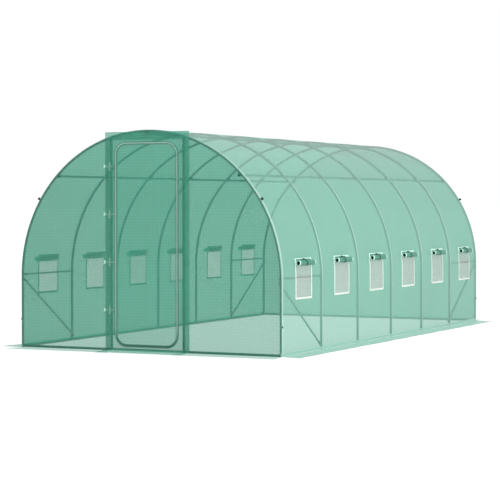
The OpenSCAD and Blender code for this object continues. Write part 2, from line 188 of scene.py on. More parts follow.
# Tube frame
# Hoops, purlins, rails, sills, posts and braces of thin steel tube, hot-dip galvanised, so their zinc shows
# a fine spangle. They are cut to length, bent or flattened at their ends, and bolted together.
# The tube zinc is painted much darker than bare galvanised steel: painted shade, standing in for the dark
# surroundings the tubes reflect.
zinc_dark = (0.15, 0.165, 0.165, 1)
zinc_pale = (0.29, 0.305, 0.305, 1)
tube_roughness = (0.15, 0.26)
hoop_count = 7
spangle_per_metre = 130
crystal_share = 0.45
stain_per_metre = 14
zinc_grain_per_metre = 420
zinc_grain = (0.12, 0.0006)


def new_material(name):
    """Starts a material and returns it with its node tree and its shader."""
    material = bpy.data.materials.new(name)
    material.use_nodes = True
    return material, material.node_tree, material.node_tree.nodes["Principled BSDF"]


def blend_colours(tree, share, first, second):
    """Mixes two colours by a share."""
    return add_node(tree, "ShaderNodeMix", {0: share, 6: first, 7: second}, data_type="RGBA").outputs[2]


def mottle(tree, place, per_metre, detail):
    """Soft clouds, so many to the metre, from 0 to 1."""
    feeds = {"Vector": place, "Scale": per_metre, "Detail": detail}
    return add_node(tree, "ShaderNodeTexNoise", feeds).outputs["Fac"]


def add_up(tree, first, first_share, second):
    """Adds up two patterns, the first by its share and the second by the rest."""
    rest = reckon(tree, "MULTIPLY", second, 1 - first_share)
    return reckon(tree, "MULTIPLY_ADD", first, first_share, rest)


def dent(tree, height, strength, depth):
    """Turns a pattern of heights into an uneven skin."""
    feeds = {"Strength": strength, "Distance": depth, "Height": height}
    return add_node(tree, "ShaderNodeBump", feeds).outputs[0]


def zinc_finish(name, dark, pale, roughness, metal=1.0):
    """Hot-dip zinc: small crystals of different greys, dull clouds and a slightly uneven skin."""
    material, tree, shader = new_material(name)
    place = add_node(tree, "ShaderNodeTexCoord").outputs["Object"]
    crystals = add_node(tree, "ShaderNodeTexVoronoi", {"Vector": place, "Scale": spangle_per_metre})
    crystal = add_node(tree, "ShaderNodeSeparateColor", {"Color": crystals.outputs["Color"]}).outputs[0]
    cloud = mottle(tree, place, stain_per_metre, detail=5.0)
    tone = add_up(tree, crystal, crystal_share, cloud)
    skin = mottle(tree, place, zinc_grain_per_metre, detail=2.0)
    feed(tree, shader, {
        "Base Color": blend_colours(tree, tone, dark, pale),
        "Roughness": between(tree, cloud, *roughness),
        "Normal": dent(tree, skin, *zinc_grain),
        "Metallic": metal,
    })
    return material


def finish_node(name, material):
    """Gives a CAD node a finish."""
    nodes[name].data.materials.clear()
    nodes[name].data.materials.append(material)


tube_zinc = zinc_finish("galvanised_tube", zinc_dark, zinc_pale, tube_roughness)
hoop_names = [f"hoop_{count}" for count in range(1, hoop_count + 1)]
purlin_names = ["left_purlin", "ridge_purlin", "right_purlin"]
base_names = ["left_base_rail", "right_base_rail", "front_sill", "rear_sill"]
brace_names = ["purlin_clips", "corner_rails", "corner_diagonals", "door_posts"]
for tube_name in hoop_names + purlin_names + base_names + brace_names:
    finish_node(tube_name, tube_zinc)


# Frame bolts
# Hexagon bolts with washers hold the flattened brace ends to the hoops, and small pan-head screws hold the
# purlin clips and the hoop joints. All are zinc-plated steel.
bolt_dark = (0.40, 0.42, 0.43, 1)
bolt_pale = (0.62, 0.64, 0.64, 1)
bolt_roughness = (0.22, 0.38)
bolt_facets = 6
bolt_across = 0.0075
bolt_head = 0.0055
bolt_crown = (0.0012, 0.0009)
bolt_smooth = math.radians(25)
washer_facets = 20
washer_radius = 0.0095
washer_thickness = 0.0016
screw_facets = 12
screw_radius = 0.0048
screw_head = 0.0026
screw_crown = (0.0016, 0.0008)
screw_recess = (0.0016, -0.0012)
screw_smooth = math.radians(40)
screw_sink = 0.0002
level_limit = 0.9
hoop_tube = 0.025
tube_radius = hoop_tube / 2
hoop_boxes = [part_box(name) for name in hoop_names]
hoop_places = [(low.y + high.y) / 2 for low, high in hoop_boxes]
half_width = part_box("right_wall")[1].x
ridge_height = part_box("roof_left_upper")[1].z
leg_height = ridge_height - half_width
hoop_radius = hoop_boxes[0][1].x - tube_radius
brace_gap = 0.0043
brace_face = hoop_radius - tube_radius - brace_gap
rail_low, rail_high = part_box("corner_rails")
rail_height = (rail_low.z + rail_high.z) / 2
brace_low, brace_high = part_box("corner_diagonals")
brace_end = 0.012
clip_reach = 0.0228
clip_inside = 0.0026
arch_part = math.radians(45)
hoop_joints = 5
joint_step = math.radians(1.1)


def choose(piece):
    """Makes a piece the active one and the only one selected."""
    bpy.ops.object.select_all(action="DESELECT")
    bpy.context.view_layer.objects.active = piece
    piece.select_set(True)


def edit(piece, kind):
    """Opens a piece for modelling with nothing selected."""
    choose(piece)
    bpy.ops.object.mode_set(mode="EDIT")
    bpy.ops.mesh.select_mode(type=kind)
    bpy.ops.mesh.select_all(action="DESELECT")


def pick_faces(piece, wanted):
    """Selects the faces that wanted says yes to, and goes on modelling."""
    bpy.ops.object.mode_set(mode="OBJECT")
    for face in piece.data.polygons:
        face.select = wanted(face)
    bpy.ops.object.mode_set(mode="EDIT")


def looks_up(face):
    """Says whether a face is level and looks up."""
    return face.normal.z > level_limit


def close(smooth_angle=None):
    """Ends modelling, with the faces pointing outwards."""
    bpy.ops.object.mode_set(mode="EDIT")
    bpy.ops.mesh.select_all(action="SELECT")
    bpy.ops.mesh.normals_make_consistent(inside=False)
    bpy.ops.object.mode_set(mode="OBJECT")
    if smooth_angle:
        bpy.ops.object.shade_smooth_by_angle(angle=smooth_angle)


def start_round(facets, radius, depth, base=0.0):
    """Starts a round piece along +Z with its foot at a height, and leaves it open for modelling."""
    bpy.ops.object.select_all(action="DESELECT")
    bpy.ops.mesh.primitive_cylinder_add(vertices=facets, radius=radius, depth=depth)
    piece = bpy.context.object
    edit(piece, "FACE")
    bpy.ops.mesh.select_all(action="SELECT")
    bpy.ops.transform.translate(value=(0, 0, base + depth / 2))
    return piece


def step_in(inset, rise):
    """Draws the selected face in and lifts its middle."""
    bpy.ops.mesh.inset(thickness=inset)
    bpy.ops.transform.translate(value=(0, 0, rise))


def model_bolt():
    """One hexagon bolt head with its washer, standing on the origin along +Z."""
    bolt = start_round(bolt_facets, bolt_across, bolt_head, washer_thickness)
    pick_faces(bolt, looks_up)
    step_in(*bolt_crown)
    bpy.ops.mesh.select_all(action="DESELECT")
    washer = {"vertices": washer_facets, "radius": washer_radius, "depth": washer_thickness}
    bpy.ops.mesh.primitive_cylinder_add(**washer)
    bpy.ops.transform.translate(value=(0, 0, washer_thickness / 2))
    close(bolt_smooth)
    return bolt


def model_screw(facets, radius, head, crown, recess, smooth_angle):
    """One pan-head screw with a round recess in its crown, standing on the origin along +Z."""
    screw = start_round(facets, radius, head)
    pick_faces(screw, looks_up)
    step_in(*crown)
    step_in(*recess)
    close(smooth_angle)
    return screw


def set_in_rows(model, name, seats):
    """Copies a fastener to each seat, a point and the way it faces, and joins the copies into one piece."""
    bpy.ops.object.select_all(action="DESELECT")
    copies = []
    for point, facing in seats:
        copy = model.copy()
        copy.data = model.data.copy()
        scene.collection.objects.link(copy)
        turn = Vector(facing).to_track_quat("Z", "Y").to_matrix().to_4x4()
        copy.data.transform(Matrix.Translation(point) @ turn)
        copy.select_set(True)
        copies.append(copy)
    bpy.context.view_layer.objects.active = copies[0]
    if len(copies) > 1:
        bpy.ops.object.join()
    copies[0].name = name
    copies[0].data.name = name
    return copies[0]


def fit_out(piece, material, body="tunnel"):
    """Gives a piece its finish, and makes it ride on a body."""
    piece.data.materials.clear()
    piece.data.materials.append(material)
    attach(piece, body)


def on_arch(radius, angle, along):
    """A point of the arch at an angle from the right springing line."""
    return Vector((radius * math.cos(angle), along, leg_height + radius * math.sin(angle)))


bolt_zinc = zinc_finish("plated_bolt", bolt_dark, bolt_pale, bolt_roughness)
bolt_model = model_bolt()
screw_model = model_screw(screw_facets, screw_radius, screw_head, screw_crown, screw_recess, screw_smooth)
bolt_seats = []
for side in (-1, 1):
    for end, inner in ((0, 1), (-1, -2)):
        end_heights = [(end, rail_height), (end, brace_high.z - brace_end)]
        inner_heights = [(inner, rail_height), (inner, brace_low.z + brace_end)]
        for hoop, height in end_heights + inner_heights:
            bolt_seats.append(((side * brace_face, hoop_places[hoop], height), (-side, 0, 0)))
frame_bolts = set_in_rows(bolt_model, "frame_bolts", bolt_seats)
fit_out(frame_bolts, bolt_zinc)

screw_seats = []
for along in hoop_places:
    for angle in (arch_part, 2 * arch_part, 3 * arch_part):
        outwards = Vector((math.cos(angle), 0, math.sin(angle)))
        sideways = Vector((-math.sin(angle), 0, math.cos(angle)))
        ear = on_arch(hoop_radius - tube_radius - clip_inside, angle, along)
        for way in (-1, 1):
            screw_seats.append((ear + sideways * way * clip_reach, -outwards))
    facing = Vector((0, -1 if along > 0 else 1, 0))
    for joint in range(hoop_joints):
        for way in (-1, 1):
            angle = arch_part * joint + way * joint_step
            seat = on_arch(hoop_radius, angle, along)
            if not 0 < angle < math.pi:
                leg = math.copysign(hoop_radius, math.cos(angle))
                seat = Vector((leg, along, leg_height - hoop_tube))
            screw_seats.append((seat + facing * (tube_radius - screw_sink), facing))
frame_screws = set_in_rows(screw_model, "frame_screws", screw_seats)
fit_out(frame_screws, bolt_zinc)
bpy.data.objects.remove(bolt_model)


# Cover film
# One sheet of green polyethylene film with a woven grid of threads in it. It is cut flat with twelve window
# holes, pulled over the hoops from foot to foot, wrapped round the end hoops and hemmed at its feet.
# Its greens are paler than the end panels' film: painted light. A pale mint band over the front hoop is a
# painted highlight, and pale lines over the other hoops are painted highlights too.
# Paler, whiter greens than the end panels' film: painted light and painted sheen, for the overhead light on
# the roof and walls.
greens_painted_lighter = ((0.080, 0.330, 0.240, 1), (0.120, 0.400, 0.300, 1))
cover_density = 0.63
cover_bold = 0.6
cover_sheen = 0.80
cover_cells = (168, 144)
film_filter = (0.60, 0.90, 0.80, 1)
film_glow = (0.120, 0.580, 0.420, 1)
film_scatter = 0.40
film_roughness = (0.28, 0.42)
hem_roughness = 0.12
hem_gloss = 1.0
film_gloss = 0.8
film_sheen = 0.4
sheen_roughness = 0.4
film_grain = (0.2, 0.0004)
grid_pitch = 0.010
thread_width = 0.0018
heavy_pitch = 3 * grid_pitch
heavy_width = 0.0045
thread_core = 0.3
thread_edge = 0.7
thread_share = 0.45
weave_pitch = 0.0016
weave_height = 0.25
cloud_per_metre = 1.7
cloud_spread = 0.06
gap_thinner = 0.03
thread_denser = 0.09
film_thickness = 0.002
film_radius = half_width - film_thickness / 2
foot_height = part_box("right_wall")[0].z
quarter_arch = film_radius * math.pi / 2
cover_half_cut = quarter_arch + leg_height - foot_height
cover_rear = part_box("right_wall")[1].y
bay = hoop_places[1] - hoop_places[0]
bay_count = len(hoop_places) - 1
sag_depth = 0.0015
ripple_depth = 0.0010
ripple_waves = (2.3, 1.4)
bead_radius = film_radius - hoop_radius
bead_steps = 6
cover_wrap = bead_radius * math.pi / 2
cut_front = hoop_places[0] - cover_wrap
cut_rear = hoop_places[-1] + cover_wrap
# The band over the front hoop is painted pale mint and made denser: a painted highlight. The same mint
# colours the cover's foot hems and the end skirts' hems.
highlight_band_from = cover_wrap * 5 / 6
highlight_band_to = cover_wrap + 0.020
hem_and_highlight_mint = (0.50, 0.79, 0.68, 1)
hem_and_band_density = 0.86
foot_hem = 0.035
# Colours and density of the painted lines on the film: a painted highlight and painted shade over tubes.
painted_highlight_pale = (0.56, 0.80, 0.70, 1)
painted_shade_dark = (0.006, 0.130, 0.085, 1)
painted_line_density = 0.84
# Where the painted highlights over the hoops fall, and how strong they are.
hoop_line = (0.009, 0.016)
shoulder_from = (0.40 * quarter_arch, 0.60 * quarter_arch)
shoulder_to = (0.95 * quarter_arch, 1.10 * quarter_arch)
shoulder_highlight_share = 0.75
leg_highlight_share = 0.40
tape_low, tape_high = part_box("window_tapes")
tape_width = 0.020
tape_half = (tape_high.y - tape_low.y - (bay_count - 1) * bay) / 2
window_middles = [tape_low.y + tape_half + count * bay for count in range(bay_count)]
window_half = tape_half - tape_width
window_sill = tape_low.z + tape_width
window_head = tape_high.z - tape_width


def let_light_through(tree, shader, cover_share, glow_colour, scatter, tint=white):
    """Makes thin cloth glow from behind: part of the light that meets it comes out on its other side."""
    clear = add_node(tree, "ShaderNodeBsdfTransparent", {"Color": tint}).outputs[0]
    glow = add_node(tree, "ShaderNodeBsdfTranslucent", {"Color": glow_colour}).outputs[0]
    passed = mix_shaders(tree, cover_share, clear, glow)
    both = mix_shaders(tree, scatter, shader.outputs[0], passed)
    feed(tree, tree.nodes["Material Output"], {"Surface": both})


def flat_cut(tree):
    """A place on the flat cut of a sheet in metres, and its parts across and along the sheet."""
    cut = add_node(tree, "ShaderNodeUVMap", uv_map="flat_cut").outputs[0]
    return cut, add_node(tree, "ShaderNodeSeparateXYZ", {0: cut}).outputs


def fade_out(tree, value, start, stop):
    """Is 1 up to start and falls to 0 at stop."""
    feeds = {"Value": value, "From Min": start, "From Max": stop, "To Min": 1.0, "To Max": 0.0}
    return add_node(tree, "ShaderNodeMapRange", feeds).outputs[0]


def ribs(tree, way, pitch):
    """Even waves along one way of a sheet, from -1 to 1."""
    return reckon(tree, "SINE", reckon(tree, "MULTIPLY", way, 2 * math.pi / pitch))


def hoop_painted_highlights(tree, across):
    """Painted highlights over the hoops: a pale line at the shoulder of the arch, weaker down the leg."""
    off_first = reckon(tree, "SUBTRACT", across[1], hoop_places[0])
    off_hoop = reckon(tree, "PINGPONG", off_first, bay / 2)
    from_top = reckon(tree, "ABSOLUTE", across[0])
    below_roof = reckon(tree, "SUBTRACT", 1.0, fade_out(tree, from_top, *shoulder_from))
    above_leg = fade_out(tree, from_top, *shoulder_to)
    share = between(tree, above_leg, leg_highlight_share, shoulder_highlight_share)
    shown = reckon(tree, "MULTIPLY", share, below_roof)
    return reckon(tree, "MULTIPLY", fade_out(tree, off_hoop, *hoop_line), shown), 0.0


def film_finish(name, greens, density, hem_density, hem=None, bold=1.0, sheen=film_sheen,
                gloss=film_gloss, painted_lines=None):
    """Woven-grid film: a thin skin with a square grid of denser threads, doubled hems, and painted light
    lines.
    """
    material, tree, shader = new_material(name)
    cut, across = flat_cut(tree)
    lines = []
    for way in (0, 1):
        for pitch, width in ((grid_pitch, thread_width), (heavy_pitch, heavy_width)):
            off_line = reckon(tree, "PINGPONG", across[way], pitch / 2)
            lines.append(fade_out(tree, off_line, width * thread_core, width * thread_edge))
    light_and_heavy = [reckon(tree, "MAXIMUM", *pair) for pair in (lines[:2], lines[2:])]
    threads = reckon(tree, "MAXIMUM", *light_and_heavy)
    cloud = mottle(tree, cut, cloud_per_metre, detail=4.0)
    doubled = add_node(tree, "ShaderNodeAttribute", attribute_name="doubled").outputs["Fac"]
    colour = blend_colours(tree, add_up(tree, threads, thread_share, cloud), *greens)
    # Hems take their own colour; on the cover this also paints the pale band over the front hoop, a painted
    # highlight.
    if hem:
        colour = blend_colours(tree, doubled, colour, hem)
    # Painted highlight and painted shade lines, laid over the film's colour, where the film is made denser.
    if painted_lines:
        highlight_line, shade_line = painted_lines(tree, across)
        colour = blend_colours(tree, shade_line, colour, painted_shade_dark)
        colour = blend_colours(tree, highlight_line, colour, painted_highlight_pale)
    if density < 1:
        skin = between(tree, threads, density - gap_thinner * bold, density + thread_denser * bold)
        evened = reckon(tree, "SUBTRACT", skin, cloud_spread / 2)
        body = reckon(tree, "MULTIPLY_ADD", cloud, cloud_spread, evened)
        cover_share = between(tree, doubled, body, hem_density)
        if painted_lines:
            either_line = reckon(tree, "MAXIMUM", highlight_line, shade_line)
            cover_share = between(tree, either_line, cover_share, painted_line_density)
        feed(tree, shader, {"Alpha": cover_share})
        let_light_through(tree, shader, cover_share, film_glow, film_scatter, film_filter)
    weave = reckon(tree, "MULTIPLY", *[ribs(tree, across[way], weave_pitch) for way in (0, 1)])
    height = reckon(tree, "ADD", threads, reckon(tree, "MULTIPLY", weave, weave_height))
    feed(tree, shader, {
        "Base Color": colour,
        "Roughness": between(tree, doubled, between(tree, cloud, *film_roughness), hem_roughness),
        "Specular IOR Level": between(tree, doubled, gloss, hem_gloss),
        "Normal": dent(tree, height, *film_grain),
        "Sheen Weight": sheen,
        "Sheen Roughness": sheen_roughness,
    })
    return material


def cut_sheet(name, low, high, cells):
    """Lays out a flat sheet between two corners, in cells across and along."""
    bpy.ops.object.select_all(action="DESELECT")
    columns, rows = cells
    bpy.ops.mesh.primitive_grid_add(x_subdivisions=columns, y_subdivisions=rows, size=1, calc_uvs=False)
    sheet = bpy.context.object
    sheet.name = name
    sheet.data.name = name
    edit(sheet, "FACE")
    bpy.ops.mesh.select_all(action="SELECT")
    bpy.ops.transform.resize(value=(high[0] - low[0], high[1] - low[1], 1))
    bpy.ops.transform.translate(value=((high[0] + low[0]) / 2, (high[1] + low[1]) / 2, 0))
    bpy.ops.object.mode_set(mode="OBJECT")
    return sheet


def slit(sheet, across=(), along=()):
    """Cuts edges right through a flat sheet, at places across it and along it."""
    edit(sheet, "FACE")
    cuts = [((place, 0, 0), (1, 0, 0)) for place in across]
    cuts += [((0, place, 0), (0, 1, 0)) for place in along]
    for point, facing in cuts:
        bpy.ops.mesh.select_all(action="SELECT")
        bpy.ops.mesh.bisect(plane_co=point, plane_no=facing)
    bpy.ops.object.mode_set(mode="OBJECT")


def drop_faces(sheet, is_waste):
    """Takes out the faces whose middles are waste."""
    edit(sheet, "FACE")
    pick_faces(sheet, lambda face: is_waste(face.center))
    bpy.ops.mesh.delete(type="FACE")
    bpy.ops.object.mode_set(mode="OBJECT")


def mark_hems(sheet, is_hem):
    """Notes where the film is folded back on itself, and the bands painted paler as painted light."""
    hems = sheet.data.attributes.new("doubled", "FLOAT", "FACE")
    hems.data.foreach_set("value", [float(is_hem(face.center)) for face in sheet.data.polygons])


def hang(sheet, place):
    """Takes a sheet from the cutting table to its place, and keeps the flat cut in metres as its UV map."""
    mesh = sheet.data
    flat = [vertex.co.copy() for vertex in mesh.vertices]
    cut = mesh.uv_layers.new(name="flat_cut")
    for loop in mesh.loops:
        cut.data[loop.index].uv = flat[loop.vertex_index].xy
    for vertex, point in zip(mesh.vertices, flat):
        vertex.co = place(point.x, point.y)
    mesh.update()
    choose(sheet)
    bpy.ops.object.shade_smooth()


def from_ridge(height):
    """How far down the film a height is, measured along it from the ridge."""
    if height <= leg_height:
        return quarter_arch + leg_height - height
    return quarter_arch - film_radius * math.asin((height - leg_height) / film_radius)


def unevenness(across, along, waves, seed):
    """Smooth ups and downs over a sheet, from about -1 to 1, with so many waves to the metre each way."""
    return noise.noise(Vector((across * waves[0], along * waves[1], seed)))


def film_sag(along, down):
    """How far the film lies inside the hoops' line: nothing at a hoop, most in the middle of a bay."""
    share = min(max((along - hoop_places[0]) / bay, 0), bay_count)
    swell = math.sin(math.pi * (share % 1))
    return swell * (sag_depth + ripple_depth * unevenness(along, down, ripple_waves, seed=4.0))


def round_end(along):
    """Bends the film round an end hoop: how far in and how far along a place on the cut comes."""
    turned = max(abs(along) - hoop_places[-1], 0) / bead_radius
    reach = min(abs(along), hoop_places[-1]) + bead_radius * math.sin(turned)
    return bead_radius * (1 - math.cos(turned)), math.copysign(reach, along)


def on_cover(down, along, lift=0.0):
    """A point of the cover, by its way down from the ridge, left or right, and its place along."""
    radius = film_radius + lift - film_sag(along, down)
    bent_in, along = round_end(along)
    radius -= bent_in
    side = math.copysign(1, down)
    if abs(down) >= quarter_arch:
        return Vector((side * radius, along, leg_height - (abs(down) - quarter_arch)))
    angle = down / film_radius
    return Vector((radius * math.sin(angle), along, leg_height + radius * math.cos(angle)))


def in_window(point):
    """Says whether a point of the flat cover lies in a window hole."""
    off_bay = min(abs(point.y - middle) for middle in window_middles)
    return head_cut < abs(point.x) < sill_cut and off_bay < window_half


def in_cover_hem(point):
    """Says whether a point of the flat cover lies in a foot hem or in the painted highlight over the front
    hoop.
    """
    return highlight_band_from < point.y - cut_front < highlight_band_to or cover_half_cut - abs(point.x) < foot_hem


head_cut = from_ridge(window_head)
sill_cut = from_ridge(window_sill)
cover_film = film_finish("green_grid_film", greens_painted_lighter, cover_density, hem_and_band_density, hem_and_highlight_mint,
                         bold=cover_bold, sheen=cover_sheen, painted_lines=hoop_painted_highlights)
cover = cut_sheet("cover_film", (-cover_half_cut, cut_front), (cover_half_cut, cut_rear), cover_cells)
window_cuts = [side * place for side in (-1, 1) for place in (head_cut, sill_cut)]
foot_cuts = [side * (cover_half_cut - foot_hem) for side in (-1, 1)]
window_sides = [middle + side * window_half for middle in window_middles for side in (-1, 1)]
bead_cuts = [cover_wrap * step / bead_steps for step in range(1, bead_steps + 1)] + [highlight_band_to]
end_cuts = [cut_front + cut for cut in bead_cuts] + [cut_rear - cut for cut in bead_cuts]
slit(cover, window_cuts + foot_cuts, window_sides + end_cuts)
drop_faces(cover, in_window)
mark_hems(cover, in_cover_hem)
hang(cover, on_cover)
fit_out(cover, cover_film)
roof_names = [f"roof_{side}_{band}" for side in ("left", "right") for band in ("lower", "middle", "upper")]
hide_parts("left_wall", "right_wall", *roof_names)


# End panels
# Film closes both ends inside the end hoops, stretched on the arch and the sill. The front one has the
# doorway cut out of it with a hem round it, and the rear one is whole.
panel_greens = ((0.014, 0.255, 0.168, 1), (0.036, 0.330, 0.228, 1))
panel_density = 0.56
panel_hem_density = 0.72
panel_bold = 1.2
panel_lap = 0.0008
panel_radius = hoop_radius + panel_lap
panel_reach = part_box("rear_panel")[1].x
panel_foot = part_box("rear_panel")[0].z
panel_top = leg_height + panel_radius
front_plane = (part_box("front_panel_left")[0].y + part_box("front_panel_left")[1].y) / 2
rear_plane = (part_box("rear_panel")[0].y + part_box("rear_panel")[1].y) / 2
doorway_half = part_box("front_panel_right")[0].x
lintel_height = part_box("front_panel_head")[0].z
doorway_hem = 0.018
panel_slack = 0.004
slack_run = 0.3
slack_waves = (2.1, 1.7)
panel_cells = (72, 56)


def arch_height(across):
    """The top of an end panel at a place across the tunnel."""
    return leg_height + math.sqrt(max(panel_radius**2 - across**2, 0))


def panel_slack_at(across, height):
    """How far an end panel's film stands off its plane, away from the tubes it is stretched on."""
    off_post = abs(abs(across) - doorway_half - tube_radius)
    off_arch = panel_radius - math.hypot(across, max(height - leg_height, 0))
    edge = min(off_post, off_arch, height - panel_foot, slack_run) / slack_run
    return panel_slack * edge * unevenness(across, height, slack_waves, seed=9.0)


def cut_panel(name):
    """Lays out a flat panel, with its columns drawn in so that its top edge follows the arch."""
    panel = cut_sheet(name, (-panel_radius, panel_foot), (panel_radius, panel_top), panel_cells)
    for vertex in panel.data.vertices:
        reach = panel_radius * math.sin(math.pi / 2 * vertex.co.x / panel_radius)
        share = (vertex.co.y - panel_foot) / (panel_top - panel_foot)
        vertex.co = (reach, panel_foot + share * (arch_height(reach) - panel_foot), 0)
    panel.data.update()
    return panel


def in_doorway_hem(point):
    """Says whether a point of the front panel lies in the hem round the doorway."""
    return abs(point.x) < doorway_half + doorway_hem and point.y < lintel_height + doorway_hem


panel_film = film_finish("end_grid_film", panel_greens, panel_density, panel_hem_density, bold=panel_bold)

front_panel = cut_panel("front_panel")
door_edges = [side * (doorway_half + hem) for side in (-1, 1) for hem in (0, doorway_hem)]
slit(front_panel, door_edges, [lintel_height, lintel_height + doorway_hem])
drop_faces(front_panel, lambda point: abs(point.x) < doorway_half and point.y < lintel_height)
mark_hems(front_panel, in_doorway_hem)
hang(front_panel, lambda x, z: Vector((x, front_plane - panel_slack_at(x, z), z)))
fit_out(front_panel, panel_film)
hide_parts("front_panel_left", "front_panel_right", "front_panel_head")

rear_panel = cut_panel("rear_panel_film")
mark_hems(rear_panel, lambda point: False)
hang(rear_panel, lambda x, z: Vector((-x, rear_plane + panel_slack_at(x, z), z)))
fit_out(rear_panel, panel_film)
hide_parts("rear_panel")


# Ground skirts
# Strips of the same film run out over the ground from the foot of the cover and the end panels, to be
# weighed down or dug in. They lie loose, so they ripple a little, and each has a band along its outer edge.
side_skirt_density = 0.69
side_edge_density = 0.72
# A greyer, denser band along the side skirts' outer edge.
side_edge_grey = (0.120, 0.270, 0.205, 1)
side_ripple = 0.005
side_cells = (6, 180)
end_skirt_density = 0.52
end_hem_density = 0.60
end_ripple = 0.0022
front_cells = (44, 6)
rear_cells = (110, 6)
skirt_hem = 0.045
skirt_height = 0.0012
broad_waves = (5.0, 5.0)
fine_waves = (13.0, 13.0)
fine_share = 0.5


def skirt_lift(x, y, ripple):
    """How far a skirt lifts off the ground at a point."""
    fine = unevenness(x, y, fine_waves, seed=6.0)
    wave = unevenness(x, y, broad_waves, seed=2.0) + fine_share * fine
    return skirt_height + ripple * min(max(wave, 0), 1)


def lay_skirt(name, node, finish, low, high, cells, in_hem, ripple, taper):
    """Cuts a skirt, tapers its ends, and lays it on the ground."""
    skirt = cut_sheet(name, low, high, cells)
    for vertex in skirt.data.vertices:
        taper(vertex.co)
    skirt.data.update()
    mark_hems(skirt, in_hem)
    hang(skirt, lambda x, y: Vector((x, y, skirt_lift(x, y, ripple))))
    fit_out(skirt, finish)
    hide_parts(node)


# Two copies of the film with light painted in: the side skirts take the end panels' greens and a denser
# film, darker where the softbox lights them; the end skirts take the paler greens and a thinner film,
# lighter where the tunnel shades them.
side_skirt_film = film_finish("skirt_grid_film", panel_greens, side_skirt_density, side_edge_density,
                              side_edge_grey)
end_skirt_film = film_finish("end_skirt_film", greens_painted_lighter, end_skirt_density, end_hem_density, hem_and_highlight_mint)
for node in ("left_skirt", "right_skirt"):
    low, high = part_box(node)
    inner = min(abs(low.x), abs(high.x))
    outer = max(abs(low.x), abs(high.x))
    spread = (high.y - cover_rear) / (outer - inner)

    def lengthen(point):
        """Makes the skirt longer towards its outer edge."""
        reach = cover_rear + (abs(point.x) - inner) * spread
        point.y *= reach / high.y

    lay_skirt(node + "_film", node, side_skirt_film, (low.x, low.y), (high.x, high.y), side_cells,
              lambda point: abs(point.x) > outer - skirt_hem, side_ripple, lengthen)

for name, node in (("front_left", "front_skirt"), ("front_right", "front_skirt"), ("rear", "rear_skirt")):
    low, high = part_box(node)
    inner = min(abs(low.y), abs(high.y))
    outer = max(abs(low.y), abs(high.y))
    spread = (high.x - panel_reach) / (outer - inner)
    left = doorway_half if name == "front_right" else low.x
    right = -doorway_half if name == "front_left" else high.x
    start = doorway_half if node == "front_skirt" else 0

    def widen(point):
        """Makes the skirt wider towards its outer edge, and keeps its doorway end straight."""
        wide = panel_reach + (abs(point.y) - inner) * spread
        share = (abs(point.x) - start) / (high.x - start)
        point.x = math.copysign(start + share * (wide - start), point.x)

    lay_skirt(name + "_skirt_film", node, end_skirt_film, (left, low.y), (right, high.y),
              rear_cells if name == "rear" else front_cells,
              lambda point: abs(point.y) > outer - skirt_hem, end_ripple, widen)


# Window nets
# Fine white insect net fills each window. It is cut a little larger than the hole and sewn to the inside
# of the cover, so that its edge lies under the tape.
net_white = (0.58, 0.61, 0.58, 1)
net_shade = (0.40, 0.44, 0.41, 1)
net_scatter = 0.5
net_pitch = 0.0018
net_thread = net_pitch * 0.3
net_thread_share = 0.6
net_cover = (0.30, 0.86)
net_roughness = (0.55, 0.75)
net_grain = (0.3, 0.0003)
net_cloud_per_metre = 9.0
net_lap = 0.015
net_lift = -0.0018
net_cells = (16, 16)


def net_finish(name):
    """Net of thin round threads, with open squares between them."""
    material, tree, shader = new_material(name)
    cut, across = flat_cut(tree)
    off_lines = [reckon(tree, "PINGPONG", across[way], net_pitch / 2) for way in (0, 1)]
    lines = [fade_out(tree, off_line, 0.0, net_thread) for off_line in off_lines]
    threads = reckon(tree, "MAXIMUM", *lines)
    cloud = mottle(tree, cut, net_cloud_per_metre, detail=3.0)
    tone = add_up(tree, threads, net_thread_share, cloud)
    cover_share = between(tree, threads, *net_cover)
    feed(tree, shader, {
        "Base Color": blend_colours(tree, tone, net_shade, net_white),
        "Alpha": cover_share,
        "Roughness": between(tree, cloud, *net_roughness),
        "Normal": dent(tree, threads, *net_grain),
    })
    let_light_through(tree, shader, cover_share, net_white, net_scatter)
    return material


windows = []
for side, side_name in ((-1, "left"), (1, "right")):
    for count, middle in enumerate(window_middles, 1):
        windows.append((side, side_name, count, middle))

half_turn = Matrix.Rotation(math.pi, 4, "Z")
net = net_finish("insect_net")
net_low = (head_cut - net_lap, -window_half - net_lap)
net_high = (sill_cut + net_lap, window_half + net_lap)
for side, side_name, count, middle in windows:
    window_net = cut_sheet(f"{side_name}_window_net_{count}", net_low, net_high, net_cells)
    if side < 0:
        window_net.data.transform(half_turn)
    hang(window_net, lambda down, off: on_cover(down, middle + off, net_lift))
    fit_out(window_net, net)
    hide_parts("window_nets")


# Window tapes
# Off-white woven tape is sewn round each window hole, over the cut edge of the cover and the net. Its head
# holds the upper end of the window's flap, and is painted a pale mint: painted light from above.
tape_white = (0.88, 0.91, 0.88, 1)
tape_shade = (0.72, 0.78, 0.74, 1)
head_painted_light_mint = (0.52, 0.80, 0.69, 1)
tape_scatter = 0.25
tape_rib_pitch = 0.002
tape_rib_range = (0.3, 0.7)
tape_rib_share = 0.4
tape_cloud_per_metre = 30.0
tape_roughness = (0.6, 0.8)
tape_grain = (0.35, 0.0004)
tape_thickness = 0.0008
tape_lift = 0.0013
tape_cells = (22, 20)
head_lift = 0.0036
head_step = 0.006
tape_head_cut = from_ridge(tape_high.z)
tape_sill_cut = from_ridge(tape_low.z)


